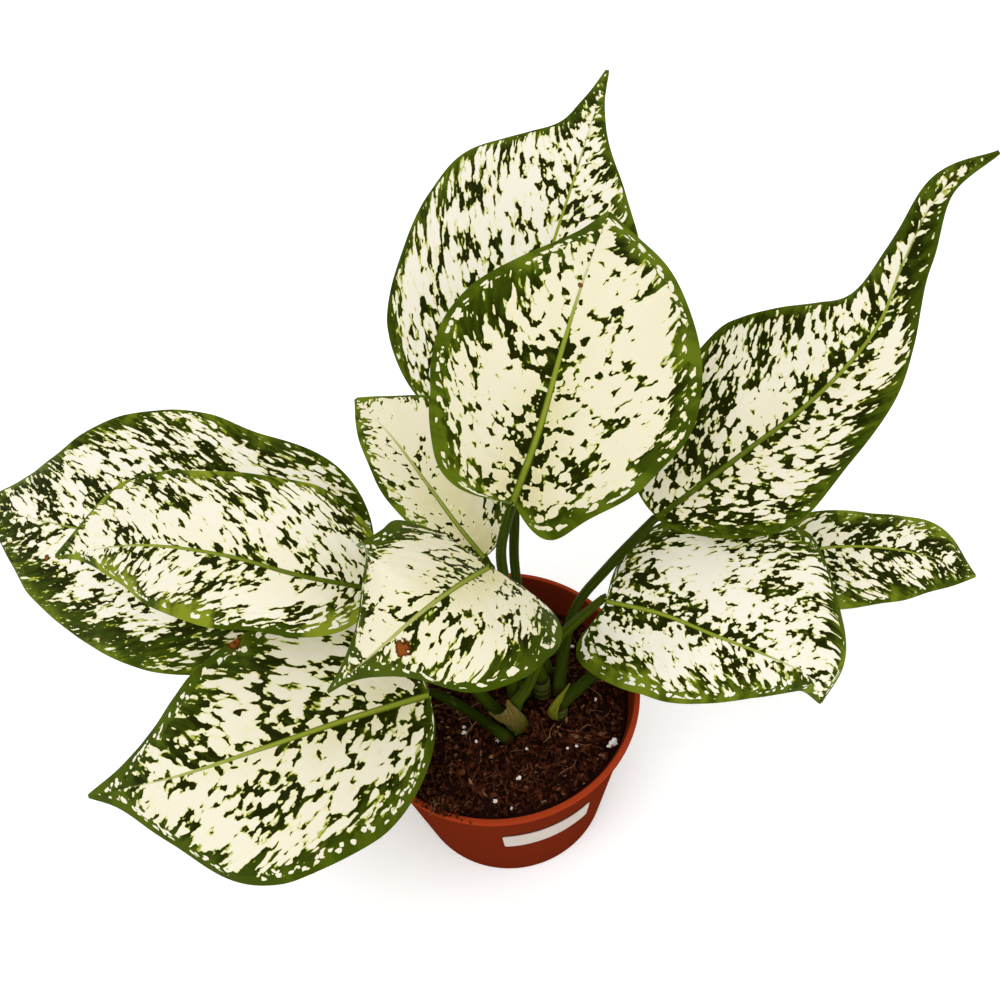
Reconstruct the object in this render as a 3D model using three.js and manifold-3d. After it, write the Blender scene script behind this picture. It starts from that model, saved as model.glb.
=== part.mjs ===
// A potted aroid house plant: ten variegated leaves on three short canes, in a plastic nursery pot.
// Millimetres, +Z up. The origin is the middle of the pot's flat underside, and the front is towards -Y.

import * as THREE from 'three';
import { mergeVertices } from 'three/addons/utils/BufferGeometryUtils.js';
import Module from 'manifold-3d';

const wasm = await Module();
wasm.setup();

// Driving dimensions
const gap = 0.3;
const pot = {
  height: 112, rimRadius: 76, baseRadius: 56, wall: 1.6, floor: 2, lipHeight: 4, lipWidth: 3, lipSlope: 1.6,
  sides: 64, drainHoles: 8, drainRadius: 4, drainRing: 38,
};
const soil = { level: 98, rise: 0.12, bumps: 1.4, rings: 8, sectors: 40, chips: 26, seed: 7 };
const cane = { radius: 4.8, sides: 14, foot: 72, scarSwell: 0.4, scarFrom: 94, scarSpacing: 5 };
const petiole = {
  footRadius: 3.7, middleRadius: 2.7, topRadius: 2.1, short: 0.5, drop: 2.5, lead: 4, sides: 8, steps: 14,
};
const blade = {
  thickness: 0.8, ridgeDepth: 2.4, ridgeEnd: 0.2, baseHalf: 1.5, tipHalf: 0.6,
  roundBase: 0.25, lobeEnd: 0.33, lobeReach: 40, lobePower: 1.5,
  rows: 18, columns: [1, 0.8, 0.55, 0.3, 0.07, 0],
};
const sheath = { thickness: 0.8, flare: 2.5, hookAt: 100, rows: 9, columns: 8 };
const label = { width: 49, height: 20, thickness: 0.5, turn: -74, middle: 69, columns: 10 };

// Canes stand upright in the soil. Each carries one petiole on its top, and the rest grow from its side.
const canes = {
  front_left: { at: [7, -17], top: 110 },
  front_right: { at: [31, -13], top: 108 },
  back: { at: [24, 2], top: 112 },
};

// A leaf's midrib runs through its spine points, and its upper side looks towards face.
// left and right are half widths at even steps from base to tip; fold, curl and the lobes shape the blade.
// A wave is [height, number of waves, phase]. side is the bearing at which the petiole leaves its cane.
const leaves = {
  back_tall: {
    spine: [[25, 87, 215], [37, 113, 248], [50, 136, 282], [71, 172, 312], [95, 234, 325]],
    face: [0, -5, 8], left: [54, 66, 74, 72, 66, 52, 19, 8, 1], right: [44, 44, 48, 48, 44, 28, 12, 4, 1],
    fold: [12, 8, 8], curl: [[-10, -10], [-10, -10]], lobes: [14, 12], waves: [[3, 1.7, 0.1], [2, 2, 0.4]],
    cane: 'back', side: 60, foot: 103, stalk: [[19, 33, 128], [17, 52, 150], [20, 66, 176]],
  },
  centre_back: {
    spine: [[19, 22, 240], [34, 35, 272], [47, 51, 303], [60, 71, 325], [76, 105, 332]],
    face: [0, -5, 8], left: [58, 50, 51, 54, 53, 44, 25, 11, 1], right: [42, 39, 53, 63, 63, 57, 44, 25, 1],
    fold: [20, 10, 10], curl: [[-15, -5], [-10, -5]], lobes: [6, 33], lobePower: 1,
    waves: [[4, 1.5, 0.3], [2, 1.5, 0]],
    cane: 'back', stalk: [[17, 10, 150], [11.5, 17, 180], [11, 20, 208]],
  },
  right_long: {
    spine: [
      [89, 34, 200], [129, 42, 230], [163, 47, 260], [187, 55, 290], [201, 73, 312], [220, 94, 330],
      [251, 111, 335],
    ],
    face: [-2, -6, 7], left: [42, 47, 51, 53, 40, 16, 8, 7, 1], right: [28, 38, 41, 33, 26, 14, 10, 4, 1],
    fold: [14, 12, 20], curl: [[-20, -10], [-10, 0]], lobes: [14, 2], waves: [[2, 2, 0.2], [5, 2, 0.75]],
    cane: 'back', side: -20, foot: 103, stalk: [[38, 14, 119], [47, 29, 138], [65, 36, 160]],
  },
  right_low: {
    spine: [[62, 22, 150], [87, 4, 160], [110, -13, 162], [137, -22, 150], [157, -28, 136], [165, -33, 116]],
    face: [0, -5, 8], left: [34, 46, 56, 62, 65, 68, 60, 26, 1], right: [52, 45, 42, 40, 33, 25, 16, 8, 1],
    fold: [10, 5], curl: [[-25, -25], [-25, -25]], lobes: [14, 40], waves: [[2, 2, 0.2], [1, 2, 0]],
    cane: 'front_left', stalk: [[9, -15, 120], [16, -10, 127], [29, 3, 141]],
  },
  far_right: {
    spine: [[159, 65, 100], [190, 65, 113], [220, 60, 116], [251, 55, 108], [281, 48, 92]],
    face: [0, -2, 8], left: [25, 24, 23, 22, 22, 23, 22, 15, 1], right: [25, 33, 37, 37, 34, 30, 22, 13, 1],
    fold: [8, 5], curl: [[-15, -15], [-15, -15]], lobes: [10, 10], waves: [[2, 2, 0.6], [1, 2, 0]],
    cane: 'front_right', stalk: [[56, 2, 116], [90, 26, 114], [124, 50, 102]],
  },
  left_back: {
    spine: [[-56, 34, 180], [-99, 34, 198], [-151, 49, 202], [-211, 80, 190], [-285, 128, 165]],
    face: [0, -6, 8], left: [50, 53, 58, 63, 62, 55, 42, 20, 1], right: [52, 61, 63, 70, 69, 59, 39, 20, 1],
    fold: [8, 3], curl: [[-18, -18], [-18, -18]], lobes: [12, 12], waves: [[2, 2, 0.6], [4, 2, 0.9]],
    cane: 'back', side: 195, foot: 104, stalk: [[1, 6, 126], [-20, 18, 152]],
  },
  left_upper: {
    spine: [[-48, -6, 224], [-77, -10, 246], [-110, -1, 256], [-153, 18, 246], [-204, 40, 218]],
    face: [0, -5, 8], left: [28, 28, 28, 32, 30, 26, 16, 5, 1], right: [44, 42, 41, 38, 36, 35, 30, 15, 1],
    fold: [6, 3], curl: [[-18, -18], [-25, -18]], lobes: [12, 12], waves: [[2, 2, 0.3], [2, 2, 0.4]],
    cane: 'front_left', side: 140, foot: 103, stalk: [[-11, -9, 130], [-22, -6, 165], [-34, -3, 198]],
  },
  left_low: {
    spine: [[-33, -21, 150], [-70, -38, 166], [-110, -49, 168], [-155, -50, 152], [-212, -39, 120]],
    face: [0, -5, 8], left: [50, 54, 58, 61, 62, 54, 31, 11, 1], right: [52, 55, 57, 55, 48, 37, 23, 10, 1],
    fold: [8, 3], curl: [[-12, -18], [-15, -15]], lobes: [4, 10], waves: [[3, 2, 0.5], [2, 2, 0.2]],
    cane: 'front_left', side: 240, foot: 102, stalk: [[-7, -21, 114], [-20, -19, 133]],
  },
  centre_front: {
    spine: [[5, -1, 224], [-9, -28, 250], [-24, -46, 260], [-43, -50, 244], [-73, -45, 205]],
    face: [0, -3, 8], left: [58, 52, 49, 48, 38, 18, 8, 3, 1], right: [50, 49, 43, 43, 42, 35, 17, 7, 1],
    fold: [10, -4], curl: [[-25, -25], [-15, -30]], lobes: [22, 10], waves: [[2, 2, 0.5], [2, 1.5, 0]],
    cane: 'front_left', side: 75, foot: 103, stalk: [[7, -5, 150], [3, 0, 185]],
  },
  small_inner: {
    spine: [[2, 33, 185], [-9, 38, 208], [-22, 52, 228], [-36, 74, 238], [-54, 107, 234]],
    face: [0, -3, 8], left: [12, 13, 17, 20, 21, 18, 14, 8, 1], right: [22, 26, 30, 33, 34, 32, 24, 14, 1],
    fold: [20, 12], curl: [[-10, -10], [-10, -10]], lobes: [10, 10], waves: [[1, 2, 0.5], [2, 2, 0]],
    cane: 'back', side: 145, foot: 104, stalk: [[11, 17, 132], [7, 27, 160]],
  },
};

// Old sheaths stand round a cane. left and right are half widths in degrees, from bottom to tip. hook is how
// far an edge stands off where it is wide, and lean is how far the tip leans.
const sheaths = {
  tan: {
    cane: 'front_left', bearing: 290, left: [24, 24, 25, 30, 60, 100, 50, 20, 4],
    right: [55, 54, 50, 45, 38, 30, 20, 10, 4], hook: 4.5, bottom: 101, top: 129, lean: [-5, 8],
    color: 0x8a7438,
  },
  olive: {
    cane: 'front_right', bearing: 230, left: [32, 32, 30, 26, 22, 17, 12, 7, 3],
    right: [32, 32, 30, 26, 22, 17, 12, 7, 3], hook: 0, bottom: 104.5, top: 120, lean: [13, 13],
    color: 0x6f7420,
  },
};

const radians = THREE.MathUtils.degToRad;
const mix = THREE.MathUtils.lerp;

// Smooth value at t (0 to 1) through evenly spaced numbers
function along(values, t) {
  const last = values.length - 1;
  const at = Math.min(Math.max(t, 0), 1) * last;
  const i = Math.min(Math.floor(at), last - 1);
  const f = at - i;
  const b = values[i];
  const c = values[i + 1];
  const a = i > 0 ? values[i - 1] : 2 * b - c;
  const d = i + 2 <= last ? values[i + 2] : 2 * c - b;
  return b + 0.5 * f * (c - a + f * (2 * a - 5 * b + 4 * c - d + f * (3 * (b - c) + d - a)));
}

// Repeatable random numbers from 0 to 1
function makeRandom(seed) {
  let state = seed;
  return () => {
    state = (state * 16807) % 2147483647;
    return state / 2147483647;
  };
}

// Closed solid from rings of points, each ring turning the same way, with flat ends
function loftGeometry(rings) {
  const sides = rings[0].length;
  const points = rings.flat();
  const index = [];
  for (let i = 0; i < rings.length - 1; i++) {
    for (let j = 0; j < sides; j++) {
      const a = i * sides + j;
      const b = i * sides + ((j + 1) % sides);
      index.push(a, b, b + sides, a, b + sides, a + sides);
    }
  }
  const last = (rings.length - 1) * sides;
  for (let j = 1; j < sides - 1; j++) {
    index.push(0, j + 1, j);
    index.push(last, last + j, last + j + 1);
  }
  return new THREE.BufferGeometry().setFromPoints(points).setIndex(index);
}

// Closed plate: grid is its upper face, and depth(i, j) is how far the lower face lies along -normals
function plateGeometry(grid, normals, depth) {
  const rows = grid.length;
  const columns = grid[0].length;
  const sink = (point, i, j) => point.clone().addScaledVector(normals[i][j], -depth(i, j));
  const lower = grid.map((row, i) => row.map((point, j) => sink(point, i, j)));
  const top = (i, j) => i * columns + j;
  const under = (i, j) => rows * columns + top(i, j);
  const index = [];
  const face = (a, b, c, d) => index.push(a, b, c, a, c, d);
  for (let i = 0; i < rows - 1; i++) {
    for (let j = 0; j < columns - 1; j++) {
      face(top(i, j), top(i, j + 1), top(i + 1, j + 1), top(i + 1, j));
      face(under(i + 1, j + 1), under(i, j + 1), under(i, j), under(i + 1, j));
    }
  }
  for (let i = 0; i < rows - 1; i++) {
    const j = columns - 1;
    face(top(i, 0), top(i + 1, 0), under(i + 1, 0), under(i, 0));
    face(top(i + 1, j), top(i, j), under(i, j), under(i + 1, j));
  }
  for (let j = 0; j < columns - 1; j++) {
    const i = rows - 1;
    face(top(0, j + 1), top(0, j), under(0, j), under(0, j + 1));
    face(top(i, j), top(i, j + 1), under(i, j + 1), under(i, j));
  }
  return new THREE.BufferGeometry().setFromPoints([...grid.flat(), ...lower.flat()]).setIndex(index);
}

// Exact solid of a closed geometry, for cutting and joining
function toSolid(geometry) {
  const bare = geometry.clone();
  bare.deleteAttribute('normal');
  bare.deleteAttribute('uv');
  const merged = mergeVertices(bare, 1e-4);
  const triangles = [];
  for (let k = 0; k < merged.index.count; k += 3) {
    const [a, b, c] = [0, 1, 2].map((n) => merged.index.getX(k + n));
    if (a !== b && b !== c && c !== a) triangles.push(a, b, c);
  }
  const mesh = new wasm.Mesh({
    numProp: 3,
    vertProperties: Float32Array.from(merged.attributes.position.array),
    triVerts: Uint32Array.from(triangles),
  });
  return new wasm.Manifold(mesh);
}

function toGeometry(solid) {
  const mesh = solid.getMesh();
  const geometry = new THREE.BufferGeometry();
  geometry.setAttribute('position', new THREE.BufferAttribute(mesh.vertProperties, 3));
  return geometry.setIndex([...mesh.triVerts]);
}

function upright(radius, height, sides, x, y, bottom) {
  const geometry = new THREE.CylinderGeometry(radius, radius, height, sides);
  return geometry.rotateX(Math.PI / 2).translate(x, y, bottom + height / 2);
}

// Outer radius of the pot's wall at a height
function wallRadius(z) {
  const underLip = pot.height - pot.lipHeight;
  return mix(pot.baseRadius, pot.rimRadius - pot.lipWidth, z / underLip);
}

// Thin tapered wall with a turned lip, a flat floor and drain holes
function potGeometry() {
  const { height, rimRadius, baseRadius, wall, floor, lipSlope, drainHoles, drainRadius, drainRing } = pot;
  const underLip = height - pot.lipHeight;
  const inside = wallRadius(underLip) - wall;
  const profile = [
    [0, 0], [baseRadius - 1.5, 0], [wallRadius(1.5), 1.5], [wallRadius(underLip), underLip],
    [rimRadius - 0.6, underLip], [rimRadius, underLip + 0.6], [rimRadius, height - 0.8],
    [rimRadius - 0.8, height], [inside + lipSlope + 0.4, height], [inside + lipSlope, height - 0.4],
    [inside, underLip], [wallRadius(floor) - wall, floor], [0, floor],
  ];
  const points = profile.map(([r, z]) => new THREE.Vector2(r, z));
  let solid = toSolid(new THREE.LatheGeometry(points, pot.sides).rotateX(Math.PI / 2));
  for (let k = 0; k < drainHoles; k++) {
    const turn = (2 * Math.PI * (k + 0.5)) / drainHoles;
    const [x, y] = [drainRing * Math.cos(turn), drainRing * Math.sin(turn)];
    solid = solid.subtract(toSolid(upright(drainRadius, 3 * floor, 12, x, y, -floor)));
  }
  return toGeometry(solid);
}

// Height of the soil's surface, which rises a little towards the front
function soilHeight(x, y) {
  const swell = Math.sin(x * 0.11 + 1) * Math.cos(y * 0.13) + 0.6 * Math.sin(x * 0.23 - y * 0.19);
  return soil.level - soil.rise * y + soil.bumps * swell;
}

// Soil: a crumbly surface with chips fused in, and a plain hole for each cane
function soilGeometry() {
  const random = makeRandom(soil.seed);
  const inner = (z) => wallRadius(z) - pot.wall - gap;
  const bottom = pot.floor + gap;
  const rings = [];
  const circle = (place) => {
    const turns = Array.from({ length: soil.sectors }, (_, k) => (2 * Math.PI * k) / soil.sectors);
    return turns.map((a) => place(Math.cos(a), Math.sin(a)));
  };
  rings.push(circle((c, s) => new THREE.Vector3(inner(bottom) * c, inner(bottom) * s, bottom)));
  for (let i = 0; i < soil.rings; i++) {
    const share = 1 - i / soil.rings;
    rings.push(circle((c, s) => {
      const jitter = i > 0 ? mix(-2, 2, random()) : 0;
      const r = inner(soil.level - 8) * share + jitter * share;
      return new THREE.Vector3(r * c, r * s, soilHeight(r * c, r * s) + mix(-0.6, 0.6, random()));
    }));
  }
  let solid = toSolid(loftGeometry(rings));
  for (let k = 0; k < soil.chips; k++) {
    const turn = 2 * Math.PI * random();
    const r = mix(18, 62, Math.sqrt(random()));
    const size = mix(2.5, 5, random());
    const chip = new THREE.BoxGeometry(size * 2, size, size * 0.7);
    chip.rotateX(mix(-0.5, 0.5, random())).rotateY(mix(-0.5, 0.5, random())).rotateZ(2 * Math.PI * random());
    const [x, y] = [r * Math.cos(turn), r * Math.sin(turn)];
    solid = solid.add(toSolid(chip.translate(x, y, soilHeight(x, y) + 0.4)));
  }
  const hole = cane.radius + cane.scarSwell + gap;
  for (const { at: [x, y] } of Object.values(canes)) {
    solid = solid.subtract(toSolid(upright(hole, pot.height, 16, x, y, cane.foot - gap)));
  }
  return toGeometry(solid);
}

// Blank paper label, bent round the pot's wall
function labelGeometry() {
  const plate = new THREE.BoxGeometry(label.width, label.thickness, label.height, label.columns, 1, 1);
  const position = plate.attributes.position;
  for (let k = 0; k < position.count; k++) {
    const z = position.getZ(k) + label.middle;
    const r = wallRadius(z) + gap + label.thickness / 2 - position.getY(k);
    const a = radians(label.turn) + position.getX(k) / wallRadius(label.middle);
    position.setXYZ(k, r * Math.cos(a), r * Math.sin(a), z);
  }
  return plate;
}

// Short cane with a swollen ring at each old leaf scar
function caneGeometry({ at: [x, y], top }) {
  const { radius, foot, scarSwell, scarFrom, scarSpacing } = cane;
  const profile = [[0, foot], [radius, foot]];
  for (let z = scarFrom; z < top - 3; z += scarSpacing) {
    profile.push([radius, z - 1.2], [radius + scarSwell, z], [radius, z + 1.2]);
  }
  profile.push([radius, top - 1], [radius - 1, top], [0, top]);
  const points = profile.map(([r, z]) => new THREE.Vector2(r, z));
  return new THREE.LatheGeometry(points, cane.sides).rotateX(Math.PI / 2).translate(x, y, 0);
}

// Dry sheath: a thin pointed shell that hugs its cane
function sheathGeometry({ cane: name, bearing, left, right, hook, bottom, top, lean }) {
  const { thickness, flare, hookAt, rows, columns } = sheath;
  const inner = cane.radius + cane.scarSwell + gap;
  const grid = [];
  const normals = [];
  for (let i = 0; i < rows; i++) {
    const t = i / (rows - 1);
    const [x, y] = canes[name].at.map((middle, axis) => middle + lean[axis] * t ** 3);
    const z = mix(bottom, top, t);
    const shares = Array.from({ length: columns }, (_, j) => j / (columns - 1));
    const offsets = shares.map((share) => mix(-along(left, t), along(right, t), share));
    const turns = offsets.map((offset) => radians(bearing + offset));
    grid.push(turns.map((a, j) => {
      const r = inner + thickness + flare * t * t + hook * (offsets[j] / hookAt) ** 2;
      return new THREE.Vector3(x + r * Math.cos(a), y + r * Math.sin(a), z);
    }));
    normals.push(turns.map((a) => new THREE.Vector3(Math.cos(a), Math.sin(a), 0)));
  }
  return plateGeometry(grid, normals, () => thickness);
}

function smoothCurve(points) {
  return new THREE.CatmullRomCurve3(points, false, 'catmullrom', 0.5);
}

// Place, direction, sideways and upward vectors of a leaf's midrib at t
function midribFrame(leaf, t) {
  leaf.curve ??= smoothCurve(leaf.spine.map((p) => new THREE.Vector3(...p)));
  const middle = leaf.curve.getPointAt(t);
  const ahead = leaf.curve.getTangentAt(t);
  const side = new THREE.Vector3(...leaf.face).cross(ahead).normalize();
  return { middle, ahead, side, up: ahead.clone().cross(side) };
}

// Half width of one side of a blade at t
function halfWidth(widths, t) {
  const near = Math.max(1 - t / blade.roundBase, 0);
  const least = mix(blade.baseHalf, blade.tipHalf, t);
  return Math.max(along(widths, t) * Math.sqrt(1 - near * near), least);
}

// Blade: half a section either side of the midrib, folded, curled and waved, with lobes at the base
function bladeGeometry(leaf) {
  const { rows, columns, thickness, ridgeDepth, ridgeEnd } = blade;
  const centre = columns.length - 1;
  const grid = [];
  const normals = [];
  for (let i = 0; i <= rows; i++) {
    const s = i / rows;
    const t = s - 0.1 * Math.sin(2 * Math.PI * s);
    const { middle, ahead, side, up } = midribFrame(leaf, t);
    const fade = Math.max(1 - t / blade.lobeEnd, 0) ** 2;
    const place = (q, sign, which) => {
      const half = halfWidth(which === 0 ? leaf.left : leaf.right, t);
      const start = radians(along(leaf.fold, t));
      const bend = radians(along(leaf.curl[which], t)) || 1e-6;
      const out = (half * (Math.sin(start + bend * q) - Math.sin(start))) / bend;
      const rise = (half * (Math.cos(start) - Math.cos(start + bend * q))) / bend;
      const [height, count, phase] = leaf.waves[which];
      const wave = height * q * q * Math.sin(2 * Math.PI * (count * t + phase)) * Math.min(half / 25, 1);
      const power = leaf.lobePower ?? blade.lobePower;
      const back = leaf.lobes[which] * fade * ((q * half) / blade.lobeReach) ** power;
      const point = middle.clone().addScaledVector(side, sign * out).addScaledVector(up, rise + wave);
      const slope = start + bend * q;
      const normal = up.clone().multiplyScalar(Math.cos(slope));
      return [point.addScaledVector(ahead, -back), normal.addScaledVector(side, -sign * Math.sin(slope))];
    };
    const row = columns.map((q) => place(q, 1, 0));
    row.push(...columns.slice(0, -1).reverse().map((q) => place(q, -1, 1)));
    row[centre][1] = up;
    grid.push(row.map(([point]) => point));
    normals.push(row.map(([, normal]) => normal));
  }
  const ridge = (i) => mix(ridgeDepth, ridgeEnd, Math.sqrt(i / rows));
  return plateGeometry(grid, normals, (i, j) => thickness + (j === centre ? ridge(i) : 0));
}

// Where a petiole starts: on top of its cane, or against the cane's side
function petioleFoot(leaf) {
  const { at: [x, y], top } = canes[leaf.cane];
  if (leaf.side === undefined) return new THREE.Vector3(x, y, top + gap);
  const reach = cane.radius + cane.scarSwell + gap + petiole.footRadius;
  const bearing = radians(leaf.side);
  return new THREE.Vector3(x + reach * Math.cos(bearing), y + reach * Math.sin(bearing), leaf.foot);
}

// Petiole: a tapered stalk from its cane to just short of the blade's midrib
function petioleGeometry(leaf) {
  const { middle, ahead, up } = midribFrame(leaf, 0);
  const end = middle.clone().addScaledVector(ahead, -petiole.short).addScaledVector(up, -petiole.drop);
  const bends = leaf.stalk.map((p) => new THREE.Vector3(...p));
  const lead = end.clone().addScaledVector(ahead, -petiole.lead);
  const curve = smoothCurve([petioleFoot(leaf), ...bends, lead, end]);
  const { footRadius, middleRadius, topRadius } = petiole;
  const rings = [];
  for (let i = 0; i <= petiole.steps; i++) {
    const t = i / petiole.steps;
    const radius = along([footRadius, middleRadius, middleRadius, topRadius], t);
    const heading = i === 0 ? new THREE.Vector3(0, 0, 1) : curve.getTangentAt(t);
    const across = new THREE.Vector3(0.3, -1, 0.1).cross(heading).normalize().multiplyScalar(radius);
    const other = heading.clone().cross(across);
    rings.push(Array.from({ length: petiole.sides }, (_, k) => {
      const a = (2 * Math.PI * k) / petiole.sides;
      return curve.getPointAt(t).addScaledVector(across, Math.cos(a)).addScaledVector(other, Math.sin(a));
    }));
  }
  return loftGeometry(rings);
}

const plant = new THREE.Group();

function addPiece(name, geometry, color, roughness) {
  const material = new THREE.MeshStandardMaterial({ color, roughness, metalness: 0 });
  const mesh = new THREE.Mesh(geometry, material);
  mesh.name = name;
  plant.add(mesh);
}

addPiece('pot', potGeometry(), 0xb4502e, 0.5);
addPiece('soil', soilGeometry(), 0x3a251c, 0.95);
addPiece('label', labelGeometry(), 0xdcdad6, 0.7);
for (const [name, shape] of Object.entries(canes)) {
  addPiece(`cane_${name}`, caneGeometry(shape), 0x4f6b2c, 0.6);
}
for (const [name, shape] of Object.entries(sheaths)) {
  addPiece(`sheath_${name}`, sheathGeometry(shape), shape.color, 0.8);
}
for (const [name, leaf] of Object.entries(leaves)) {
  addPiece(`petiole_${name}`, petioleGeometry(leaf), 0x3c6422, 0.45);
  addPiece(`blade_${name}`, bladeGeometry(leaf), 0xdfe0c0, 0.4);
}

export default plant;
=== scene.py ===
# Potted aroid house plant with cream-white leaves flecked dark green. Metres in the scene, millimetres in the tables.
import math
import random
from types import SimpleNamespace

import bpy
from mathutils import Euler, Matrix, Vector, noise


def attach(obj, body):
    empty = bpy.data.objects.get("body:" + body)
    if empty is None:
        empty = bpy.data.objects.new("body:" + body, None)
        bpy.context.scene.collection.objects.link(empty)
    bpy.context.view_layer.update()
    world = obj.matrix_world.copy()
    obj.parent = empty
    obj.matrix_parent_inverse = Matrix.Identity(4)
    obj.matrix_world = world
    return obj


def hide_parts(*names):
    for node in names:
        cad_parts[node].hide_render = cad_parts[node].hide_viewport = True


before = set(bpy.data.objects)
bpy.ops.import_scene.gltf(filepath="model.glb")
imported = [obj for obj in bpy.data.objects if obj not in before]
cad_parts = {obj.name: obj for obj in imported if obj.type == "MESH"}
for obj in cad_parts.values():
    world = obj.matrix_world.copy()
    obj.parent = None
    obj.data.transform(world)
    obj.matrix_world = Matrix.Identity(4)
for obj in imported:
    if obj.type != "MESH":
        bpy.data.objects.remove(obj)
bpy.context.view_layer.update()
mm = 0.001


class Wire:
    # one value in a material, so that sums of values read as sums
    def __init__(self, paint, socket):
        self.paint = paint
        self.socket = socket

    def __add__(self, other):
        return self.paint.math("ADD", self, other)

    __radd__ = __add__

    def __sub__(self, other):
        return self.paint.math("SUBTRACT", self, other)

    def __rsub__(self, other):
        return self.paint.math("SUBTRACT", other, self)

    def __mul__(self, other):
        return self.paint.math("MULTIPLY", self, other)

    __rmul__ = __mul__

    def __truediv__(self, other):
        return self.paint.math("DIVIDE", self, other)


class Paint:
    # builds one material, node by node
    def __init__(self, name):
        self.material = bpy.data.materials.new(name)
        self.material.use_nodes = True
        self.tree = self.material.node_tree
        self.shader = self.tree.nodes["Principled BSDF"]

    def node(self, kind, inputs=None, output=0, **settings):
        made = self.tree.nodes.new(kind)
        for stop, (place, color) in enumerate(settings.pop("stops", [])):
            stops = made.color_ramp.elements
            element = stops[stop] if stop < 2 else stops.new(place)
            element.position = place
            element.color = color
        for name, value in settings.items():
            setattr(made, name, value)
        for name, value in (inputs or {}).items():
            self.feed(made.inputs[name], value)
        return Wire(self, made.outputs[output])

    def feed(self, socket, value):
        if isinstance(value, Wire):
            self.tree.links.new(value.socket, socket)
        else:
            socket.default_value = value

    def math(self, operation, first, second=0.0):
        return self.node("ShaderNodeMath", {0: first, 1: second}, operation=operation)

    def step(self, value, low, high, start=0.0, end=1.0):
        # runs smoothly from start to end as value goes from low to high
        ends = {"Value": value, "From Min": low, "From Max": high, "To Min": start, "To Max": end}
        return self.node("ShaderNodeMapRange", ends, interpolation_type="SMOOTHSTEP")

    def mix(self, share, first, second):
        return self.node("ShaderNodeMix", {0: share, 6: first, 7: second}, output=2, data_type="RGBA")

    def ramp(self, value, stops):
        return self.node("ShaderNodeValToRGB", {"Fac": value}, stops=stops)

    def join(self, x, y, z):
        return self.node("ShaderNodeCombineXYZ", {0: x, 1: y, 2: z})

    def split(self, vector):
        return [self.node("ShaderNodeSeparateXYZ", {0: vector}, output=axis) for axis in range(3)]

    def noise(self, place, scale=1.0, detail=2.0, roughness=0.5, output="Fac"):
        inputs = {"Vector": place, "Scale": scale, "Detail": detail, "Roughness": roughness}
        return self.node("ShaderNodeTexNoise", inputs, output=output)

    def cells(self, place, output="Distance"):
        return self.node("ShaderNodeTexVoronoi", {"Vector": place, "Scale": 1.0}, output=output)

    def attribute(self, name, output="Fac"):
        return self.node("ShaderNodeAttribute", output=output, attribute_name=name)

    def objectPlace(self):
        return self.node("ShaderNodeTexCoord", output="Object")

    def finish(self, **values):
        for name, value in values.items():
            self.feed(self.shader.inputs[name.replace("_", " ")], value)
        return self.material

    def coat(self, color, roughness, shine, height, depth, strength):
        # a matte or satin surface with fine relief, depth in metres
        relief = self.node("ShaderNodeBump", {"Height": height, "Distance": depth, "Strength": strength})
        return self.finish(Base_Color=color, Roughness=roughness, Specular_IOR_Level=shine, Normal=relief)


def hexColor(code):
    # linear colour of a web colour code
    parts = [int(code[k:k + 2], 16) / 255 for k in (0, 2, 4)]
    return tuple(p / 12.92 if p < 0.04045 else ((p + 0.055) / 1.055) ** 2.4 for p in parts) + (1.0,)


def palette(**codes):
    return SimpleNamespace(**{name: hexColor(code) for name, code in codes.items()})


def along(values, t):
    # smooth value at t, from 0 to 1, through evenly spaced numbers
    last = len(values) - 1
    at = min(max(t, 0), 1) * last
    i = min(int(at), last - 1)
    f = at - i
    b, c = values[i], values[i + 1]
    a = values[i - 1] if i > 0 else 2 * b - c
    d = values[i + 2] if i + 2 <= last else 2 * c - b
    return b + 0.5 * f * (c - a + f * (2 * a - 5 * b + 4 * c - d + f * (3 * (b - c) + d - a)))


def between(a, b, t):
    return a + (b - a) * t


def polar(radius, turn):
    return radius * math.cos(turn), radius * math.sin(turn)


def noisePlace(x, y, length, sheet):
    # where to read a noise whose waves are about length long
    return Vector((x / length, y / length, sheet))


class Curve:
    # smooth line through points, read by its share of length
    steps = 200
    nudge = 1e-3

    def __init__(self, points):
        self.rows = [[p[k] for p in points] for k in range(3)]
        self.spots = [self.raw(k / self.steps) for k in range(self.steps + 1)]
        self.lengths = [0.0]
        for a, b in zip(self.spots, self.spots[1:]):
            self.lengths.append(self.lengths[-1] + (b - a).length)
        self.length = self.lengths[-1]

    def raw(self, t):
        return Vector([along(row, t) for row in self.rows])

    def share(self, t):
        goal = min(max(t, 0), 1) * self.length
        k = next((k for k in range(self.steps) if self.lengths[k + 1] >= goal), self.steps - 1)
        return (k + (goal - self.lengths[k]) / (self.lengths[k + 1] - self.lengths[k])) / self.steps

    def place(self, t):
        return self.raw(self.share(t))

    def ahead(self, t):
        s = self.share(t)
        return (self.raw(min(s + self.nudge, 1)) - self.raw(max(s - self.nudge, 0))).normalized()


def pick(*pieces):
    # selects these pieces alone, with the first one active
    bpy.ops.object.select_all(action="DESELECT")
    for piece in reversed(pieces):
        piece.select_set(True)
        bpy.context.view_layer.objects.active = piece


def sheetOfFaces(name, columns, rows):
    # flat grid, ready to be laid out by a formula: x and y run from -1 to 1
    pick()
    bpy.ops.mesh.primitive_grid_add(x_subdivisions=columns, y_subdivisions=rows, size=2)
    sheet = bpy.context.object
    sheet.name = name
    return sheet


def apply(piece, kind, **settings):
    # adds a modifier and applies it at once
    bpy.context.view_layer.objects.active = piece
    modifier = piece.modifiers.new(kind.title(), kind)
    for name, value in settings.items():
        setattr(modifier, name, value)
    bpy.ops.object.modifier_apply(modifier=modifier.name)


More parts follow.
